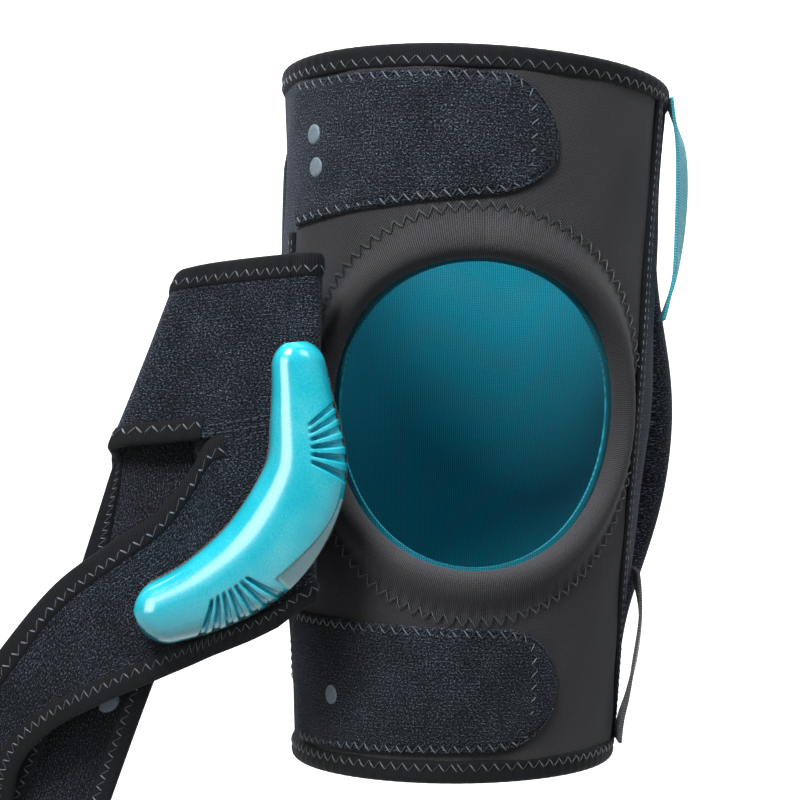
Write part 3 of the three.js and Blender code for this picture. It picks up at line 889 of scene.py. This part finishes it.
def add_stays():
    """Plush pockets over the side stays, puffed along the middle and sewn down along both sides."""
    low, high, half = -105.0, 95.0, arc(9)
    knee_z, spread = -12.0, 52.0
    for side, degrees, rise in (("right", 104, 12.0), ("left", -104, 3.0)):
        u, v = np.meshgrid(np.linspace(-1, 1, 41), np.linspace(0, 1, 161), indexing="ij")
        up = low + (high - low) * v
        across = arc(degrees) + half * u
        ends = np.sqrt(1 - np.clip((np.abs(2 * v - 1) - 0.93) / 0.07, 0, 1) ** 2)
        crown = np.clip(1 - np.abs(u) ** 2.6, 0, 1) ** 0.75
        soft = 0.5 * np.sin(up / 11.0 + 1.5 * u) * crown
        height = 2.4 + rise * np.exp(-(((up - knee_z) / spread) ** 2))
        lift = 0.5 + (height - 0.4) * crown * ends + soft * ends
        outer = leg(across, up, lift)
        inner = leg(across, up, 0.1 + 0 * lift)
        pocket = slab(f"{side}_stay_pocket_plush", outer, inner, np.stack([across, up], -1), [PLUSH])
        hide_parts(f"{side}_stay_pocket", f"{side}_spring_stay")
        attach(pocket, "shell")
        for mark, edge in (("a", -1), ("b", 1)):
            sewn = seam_path(lambda z: arc(degrees) + edge * (half - 0.9) + 0 * z, low + 4, high - 4)
            thread = running(f"{side}_stay_pocket_thread_{mark}", leg, sewn, [DARK_THREAD], radius=0.2,
                             lift=1.35, arch=0.15)
            attach(thread, "shell")


add_shell_cloth()
add_lining()
add_patella_ring()
add_hem("top", TOP_Z - BINDING_HEIGHT)
add_hem("bottom", BOTTOM_Z)
add_patches()
add_seams()
add_stays()


# Wing, straps ----

ROOT_ANGLES = (-125, -118, -110, -100, -90, -80, -70, -62)
ROOT_LIFTS = (1.9, 4.4, 7.2, 8.25, 8.25, 8.25, 8.25, 8.25)
FOLD_PLAN = ((-58.9, -55.0), (-52.6, -67.6), (-50.9, -71.6), (-51.6, -74.6), (-54.2, WING_Y), (-58.0, WING_Y),
             (-62.0, WING_Y))


def root_edge(root_z, fold_heights, back=0.0):
    """An edge of the wing's root: round the leg, off it, and round a fold that back moves to the left."""
    on_leg = [leg(arc(angle), root_z, lift) for angle, lift in zip(ROOT_ANGLES, ROOT_LIFTS)]
    off_leg = [(max(x - back, -62.0), y, z) for (x, y), z in zip(FOLD_PLAN, fold_heights)]
    return on_leg + off_leg


def strap_waves(along, share):
    """Soft unevenness of a padded strap."""
    return 0.35 * np.sin(along / 13.0 + 2.5 * share) + 0.22 * np.sin(along / 5.9 - 4 * share)


def root_waves(along, share):
    return strap_waves(along, share) + 2.6 * np.sin(math.pi * share) * smoothstep(-along, -95, -60)


ROOT = Ribbon(root_edge(52.0, (52, 52, 52, 52, 51.9, 51.6, 51.2), back=2.4),
              root_edge(-63.0, (-63, -63.5, -64, -65, -66.5, -69.2, -72.5)), root_waves)
UPPER = Ribbon(
    [(-62, WING_Y, 51.2), (-75, WING_Y, 49.4), (-88, WING_Y, 47.3), (-95, WING_Y + 0.2, 45.5),
     (-98.8, -72.8, 43), (-97, -69.6, 36), (-91.5, -69, 9), (-86, -68, -18), (-89, -66.6, -50),
     (-105, -64, -95), (-119, -59, -137), (-131.4, -55.9, -177.4)],
    [(-62, WING_Y, -5.4), (-82, WING_Y, -9.6), (-100, WING_Y, -12.2), (-114, WING_Y + 0.2, -13.8),
     (-119.8, -72.8, -15.5), (-119.5, -69.6, -19), (-121.5, -69, -27), (-125, -68, -40), (-129.5, -67, -56),
     (-141, -64, -97), (-155.5, -59, -137), (-169, -55.9, -177.4)], strap_waves)
LOWER = Ribbon(
    [(-62, WING_Y, -5.7), (-75, WING_Y, -8.4), (-86.5, WING_Y, -11.2), (-93, WING_Y, -22),
     (-103, WING_Y, -35.5), (-118.5, WING_Y, -47), (-137, WING_Y, -62), (-154, -77, -84), (-168, -74, -106),
     (-178.6, -69.8, -131.4)],
    [(-62, WING_Y, -72.5), (-70, WING_Y, -76.8), (-77, WING_Y, -80), (-84, WING_Y, -83), (-91, WING_Y, -86.4),
     (-101, WING_Y, -91), (-120, WING_Y, -100), (-137, -75, -110), (-148, -70, -123),
     (-151.3, -64.5, -139.4)], strap_waves)


def join(piece):
    """Bakes a piece's placement into its mesh."""
    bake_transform(piece)


def strap_cloth(name, ribbon, columns, rows, taped=(True, True), nodes=()):
    """The core of a strap: black plush on its inner face and heather grey on its outer face."""
    along = np.linspace(0, ribbon.length, columns + 1)[:, None]
    width = ribbon.width(along)
    low, inset = (STRAP_TAPE / 2 if bound else 0.0 for bound in taped)
    high = width - inset
    share = np.linspace(0, 1, rows + 1)[None, :]
    across = low + (high - low) * share
    along = along + 0 * across
    half = STRAP_CLOTH / 2
    front, back = ribbon(along, across, half), ribbon(along, across, -half)
    piece = slab(name, front, back, np.stack([along, across], -1), [PLUSH, HEATHER])
    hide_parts(*nodes)
    mean = float(ribbon.width(np.linspace(0, ribbon.length, 50)).mean())
    join(piece)


def strap_tape(name, ribbon, edge, start=0.0, nodes=()):
    """Bound edge of a strap with zigzag seams on both faces. edge 0 is the first edge and 1 the second."""
    along = np.linspace(start, ribbon.length, 260)
    inset = STRAP_TAPE / 2 - 0.4
    across = inset + 0 * along if edge == 0 else ribbon.width(along) - inset
    path = np.stack([along, across], 1)
    tape = band(name, ribbon, path, STRAP_TAPE / 2 + 0.2, STRAP_CLOTH / 2 + 0.75, [TAPE], power=3.4,
                ripple=0.05, straight=True)
    if nodes:
        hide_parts(*nodes)
    join(tape)
    sewn = path + np.array([0, 1.1 if edge == 0 else -1.1])
    for face, lift in (("inner", 1), ("outer", -1)):
        side = lambda a, b, offset=0.0, lift=lift: ribbon(a, b, lift * np.asarray(offset))
        thread = zigzag(f"{name}_{face}_thread", side, sewn, [THREAD, DARK_THREAD], pitch=4.1, reach=1.4,
                        lift=STRAP_CLOTH / 2 + 0.6)
        if face == "outer":
            thread.data.flip_normals()
        join(thread)


def add_straps():
    strap_cloth("wing_root_cloth", ROOT, 150, 60, nodes=("wing_root_panel",))
    strap_tape("wing_root_top_tape", ROOT, 0)
    strap_tape("wing_root_bottom_tape", ROOT, 1)
    strap_cloth("upper_strap_cloth", UPPER, 240, 40, (True, False),
                nodes=("wing_upper_panel", "upper_strap"))
    strap_tape("upper_strap_top_tape", UPPER, 0,
               nodes=("wing_top_binding", "upper_strap_right_binding"))
    strap_tape("upper_strap_bottom_tape", UPPER, 1, start=24.0,
               nodes=("upper_strap_left_binding",))
    strap_cloth("lower_strap_cloth", LOWER, 170, 40, (False, True),
                nodes=("wing_lower_panel", "lower_strap"))
    strap_tape("lower_strap_top_tape", LOWER, 0, start=17.0, nodes=("lower_strap_top_binding",))
    strap_tape("lower_strap_bottom_tape", LOWER, 1,
               nodes=("wing_bottom_binding", "lower_strap_bottom_binding"))
    join_ends = np.linspace(0, 25, 40)[:, None]
    over = UPPER.width(join_ends) + np.array([[-5.0, 5.0]])
    under = [UPPER(join_ends + 0 * over, over, -STRAP_CLOTH / 2 - lift) for lift in (-0.1, 0.5)]
    flat = np.stack([join_ends + 0 * over, over], -1)
    backing = slab("wing_join_backing", under[0], under[1], flat, [TAPE])
    attach(backing, "wing")
    for shift, mark in ((1.2, "a"), (4.2, "b")):
        along = np.linspace(0, 22, 60)
        path = np.stack([along, UPPER.width(along) - shift], 1)
        thread = running(f"wing_join_thread_{mark}", UPPER, path, [DARK_THREAD], pitch=2.6, radius=0.24,
                         lift=1.5)
        attach(thread, "wing")
    outer_face = lambda along, across, offset: UPPER(along, across, -offset)
    dot = add_dot("upper_strap_dot", outer_face, 170.0, 12.0, STRAP_CLOTH / 2)
    dot.data.flip_normals()
    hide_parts("upper_strap_dot")
    attach(dot, "upper_strap")


add_straps()


# Pull loops ----

LOOP_Y = -10.0
LOOP_HALF = 9.0


def add_pull_loop(level, look, arch, low_blend, high_blend):
    """Webbing sewn down at both ends. It is two lengths that meet at its middle, each bending at one end."""
    first = [(x - twist, LOOP_Y - LOOP_HALF, z) for x, z, twist in arch]
    second = [(x + twist, LOOP_Y + LOOP_HALF, z) for x, z, twist in arch]
    middle = len(arch) // 2
    whole = Ribbon(first, second)
    join_at = middle / (len(arch) - 1) * whole.length
    parts = (("upper", "top", 0.0, join_at, high_blend),
             ("lower", "bottom", join_at, whole.length, low_blend))
    for part, tab, low, high, (start, end) in parts:
        along = np.linspace(low, high, 50)[:, None]
        across = np.linspace(0, 1, 15)[None, :] * whole.width(along)
        along = along + 0 * across
        edge = 0.25 * (1 - np.clip(np.minimum(across, whole.width(along) - across) / 0.8, 0, 1))
        piece = slab(f"{level}_pull_loop_{part}_webbing", whole(along, across, 0.7 - edge),
                     whole(along, across, -0.7 + edge), np.stack([along, across], -1), [look])
        arch_node = [f"{level}_pull_loop"] if part == "upper" else []
        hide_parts(f"{level}_pull_loop_{tab}_tab", *arch_node)
        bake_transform(piece)


add_pull_loop("upper", TEAL_WEBBING,
              [(71.5, 118, 0.3), (73.5, 111, 1.4), (76.2, 101, 2.8), (77.2, 87, 3.2), (77.0, 70, 2.8),
               (75.8, 54, 1.6), (73.8, 45, 1.0), (71.6, 37, 0.4)],
              (43, 52), (116, 106))
add_pull_loop("lower", GREY_WEBBING,
              [(65.0, -55, 0), (66.2, -62, 0.3), (67.4, -73, 1.2), (66.0, -88, 1.6), (63.8, -101, 1.0),
               (61.6, -110, 0.4), (60.6, -118, 0)],
              (-116, -108), (-58, -66))


# Crescent buttress ----

BUTTRESS_BACK = box_mm("crescent_buttress")[1][1]
BUTTRESS_DEPTH = BUTTRESS_BACK - box_mm("crescent_buttress")[0][1]
SPINE = ((-59.2, 22.8), (-56, 0), (-54.6, -22.5), (-66, -46), (-84.5, -61.4), (-108, -72))
SPINE_POINTS = 600
END_SHARE = 0.07  # the share of its length that each rounded end takes
RIDGE = -0.2  # where its top is highest, from -1 at the inner edge to 1 at the outer edge
TOP_HALF = 8.4  # half its width near the top
WIDENING = 1.8  # how much that grows towards the lower end
BELLY = 5.6  # what its middle adds to that
WALL = 0.22  # the share of its depth that is a plain wall round it
GROOVE_DEPTH = 0.36
FLANGE_HEIGHT = 0.36
FLANGE_TOP = (0.415, 0.43)  # where the flange begins and ends along it
FLANGE_BOTTOM = (0.632, 0.642)
FLANGE_ENDS = (0.93, 0.6)  # how far out the flange begins at its two ends
# Fans of grooves: their first and last place along the outer edge, then at their tips, and their number.
GROOVES = ((0.175, 0.4, 0.24, 0.36, 6), (0.64, 0.88, 0.68, 0.80, 7))


def crescent_grooves(along, across):
    """How far into a groove each place is, from 0 to 1."""
    groove = np.zeros_like(along)
    out = np.clip((across - 0.12) / 0.88, 0, 1)
    for low, high, tip_low, tip_high, count in GROOVES:
        start = tip_low + (low - tip_low) * out
        phase = (along - start) / (tip_high + (high - tip_high) * out - start) * count
        slot = smoothstep(1 - np.abs(2 * (phase % 1) - 1), 0.36, 0.7)
        groove += np.where((phase > 0) & (phase < count), slot, 0) * smoothstep(out, 0.0, 0.16)
    return groove


def crescent_flange(along, across):
    """1 on the stepped flange between the fans of grooves, and 0 off it."""
    step = FLANGE_ENDS[0] + (FLANGE_ENDS[1] - FLANGE_ENDS[0]) * smoothstep(along, 0.42, 0.64)
    flange = smoothstep(along, *FLANGE_TOP) * (1 - smoothstep(along, *FLANGE_BOTTOM))
    return flange * smoothstep(across, step, step + 0.03)


def crescent_dome(across, half):
    """The height above the moulding's wall: a gentle inner side, and a steeper outer one."""
    into = np.clip((RIDGE - across) / (1 + RIDGE), 0, 1)
    beyond = np.clip((across - RIDGE) / (1 - RIDGE), 0, 1)
    full = (1 - WALL) * BUTTRESS_DEPTH
    inner_side = (full - 0.29 * half * into**2) * np.sqrt(np.clip(1 - into**8, 0, 1))
    outer_side = full * (1 - 0.5 * beyond**1.8) * np.sqrt(np.clip(1 - beyond**9, 0, 1))
    return np.where(across < RIDGE, inner_side, outer_side)


def add_buttress():
    """A domed crescent with two fans of grooves in its outer edge and a stepped flange between them."""
    spine = smooth_curve(SPINE, SPINE_POINTS)
    columns, rows = 620, 96
    turn = np.linspace(0, math.pi, columns + 1)
    t = 0.008 + 0.984 * (1 - np.cos(turn)) / 2 * 0.35 + 0.984 * 0.65 * np.linspace(0, 1, columns + 1)
    here = np.stack([np.interp(t, np.linspace(0, 1, SPINE_POINTS), spine[:, k]) for k in range(2)], -1)
    ahead = unit(np.gradient(here, t, axis=0))
    side = np.stack([-ahead[:, 1], ahead[:, 0]], 1)
    end = np.minimum(1, np.minimum(t / END_SHARE, (1 - t) / END_SHARE))
    round_end = np.sqrt(1 - (1 - end) ** 2)
    s = np.sin(np.linspace(-1, 1, rows + 1) * math.pi / 2)
    half = (TOP_HALF + WIDENING * t + BELLY * np.sin(math.pi * t**1.15) ** 1.5) * round_end
    half, round_end = half[:, None], round_end[:, None]
    along, across = np.meshgrid(t, s, indexing="ij")
    groove, flange = crescent_grooves(along, across), crescent_flange(along, across)
    height = (WALL * BUTTRESS_DEPTH + crescent_dome(across, half)) * (0.55 + 0.45 * round_end)
    height = height * (1 - GROOVE_DEPTH * groove)
    height = height * (1 - flange) + flange * np.minimum(height, FLANGE_HEIGHT * BUTTRESS_DEPTH)
    reach = half * across * (1 - 0.045 * groove * smoothstep(across, 0.7, 1))
    plan = here[:, None, :] + side[:, None, :] * reach[..., None]
    top = np.stack([plan[..., 0], BUTTRESS_BACK - height, plan[..., 1]], -1)
    base = np.stack([plan[..., 0], 0 * height + BUTTRESS_BACK, plan[..., 1]], -1)
    flat = np.stack([along * 140, across * 15], -1)
    piece = slab("crescent_buttress_moulding", top, base, flat, [GEL], sharp=math.radians(70))
    piece.data.materials.append(FLANGE)
    marks = np.zeros(len(piece.data.polygons), int)
    centre = (flange[:-1, :-1] + flange[1:, 1:]) / 2 > 0.5
    marks[:centre.size] = centre.ravel()
    piece.data.polygons.foreach_set("material_index", marks)
    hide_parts("crescent_buttress")
    attach(piece, "buttress")


add_buttress()


# CAD nodes that stay ----

def dress(node, look):
    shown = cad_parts[node]
    shown.data.materials.clear()
    shown.data.materials.append(look)


for node in ("buttress_hook_pad", "lower_hook_tab", "upper_hook_tab"):
    dress(node, HOOK)


# Stage and light ----

def add_stage():
    """A pale floor that curves up into a wall behind the object."""
    floor, depth, radius = -0.6, 1.1, 0.7
    front, top, half_width = -2.2, 3.0, 4.0
    turn = np.linspace(0, math.pi / 2, 24)
    curve = [(depth + radius * math.sin(a), floor + radius * (1 - math.cos(a))) for a in turn]
    profile = [(front, floor), *curve, (depth + radius, top)]
    points = [(x, y, z) for y, z in profile for x in (-half_width, half_width)]
    faces = [(2 * i, 2 * i + 1, 2 * i + 3, 2 * i + 2) for i in range(len(profile) - 1)]
    mesh = bpy.data.meshes.new("stage")
    mesh.from_pydata(points, [], faces)
    stage = bpy.data.objects.new("stage", mesh)
    for polygon in mesh.polygons:
        polygon.use_smooth = True
    look = Look("stage_paper", 0.9, Emission_Color=(1, 1, 1, 1), Emission_Strength=0.5)
    paper = look.noise(look.solid(), 3.0)
    look.paint(look.ramp(paper, [(0.0, (0.78, 0.78, 0.78)), (1.0, (0.82, 0.82, 0.82))]))
    mesh.materials.append(look.material)
    bpy.context.scene.collection.objects.link(stage)
    stage.visible_diffuse = False  # the pale stage throws no light back onto the cloth


def add_light(name, place, target, size, power, diffuse=True):
    light = bpy.data.lights.new(name, "AREA")
    light.shape = "RECTANGLE"
    light.size, light.size_y = size
    light.energy = power
    lamp = bpy.data.objects.new(name, light)
    lamp.location = place
    aim = Vector(place) - Vector(target)
    lamp.rotation_euler = aim.to_track_quat("Z", "Y").to_euler()
    lamp.visible_diffuse = diffuse
    bpy.context.scene.collection.objects.link(lamp)


def add_world(ambient, backdrop):
    """Even white light, with a brighter white behind the stage where nothing else is seen."""
    world = bpy.data.worlds.new("world")
    bpy.context.scene.world = world
    world.use_nodes = True
    tree = world.node_tree
    path = tree.nodes.new("ShaderNodeLightPath")
    strength = tree.nodes.new("ShaderNodeMapRange")
    strength.inputs["To Min"].default_value = ambient
    strength.inputs["To Max"].default_value = backdrop
    tree.links.new(path.outputs["Is Camera Ray"], strength.inputs["Value"])
    background = tree.nodes["Background"]
    background.inputs["Color"].default_value = (1, 1, 1, 1)
    tree.links.new(strength.outputs["Result"], background.inputs["Strength"])


add_stage()
add_light("key", (-0.36, -0.75, 0.8), (-0.02, 0, 0.04), (0.36, 0.36), 13.5)
add_light("strip", (-0.75, -1.15, 0.1), (-0.05, 0, 0), (0.65, 0.9), 15, diffuse=False)
add_light("fill", (0.9, -0.8, 1.1), (0, 0, 0.1), (0.5, 0.5), 6)
add_light("top", (0.1, -0.1, 1.4), (0, 0, 0), (1.0, 0.8), 4)
add_light("backdrop", (0.0, 0.6, 1.5), (0, 1.8, 0.2), (2.5, 0.6), 75)
add_world(0.14, 0.9)
bpy.context.scene.view_settings.view_transform = "Standard"
